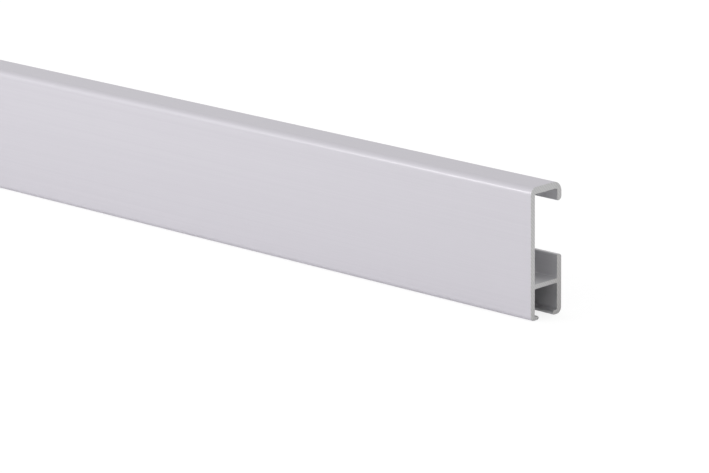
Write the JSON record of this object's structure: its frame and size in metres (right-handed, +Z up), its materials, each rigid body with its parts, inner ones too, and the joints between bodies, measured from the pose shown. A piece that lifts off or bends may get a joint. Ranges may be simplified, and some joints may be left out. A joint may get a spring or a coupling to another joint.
{
  "type": "aluminium extrusion profile",
  "caption": "Slim extruded aluminium picture rail: flat show face, open back that clicks over wall clips, and a slotted channel underneath for hanging hooks.",
  "frame": {"origin": "middle of the rectangle that the rail stands on, under its mid-length", "axes": "+X along the rail, +Y from the show face towards the wall, +Z up as it hangs"},
  "size_m": [1, 0.0094, 0.028],
  "materials": {
    "satin_aluminium": "satin anodised"
  },
  "bodies": {
    "root": {"rail": "satin_aluminium"}
  },
  "joints": []
}
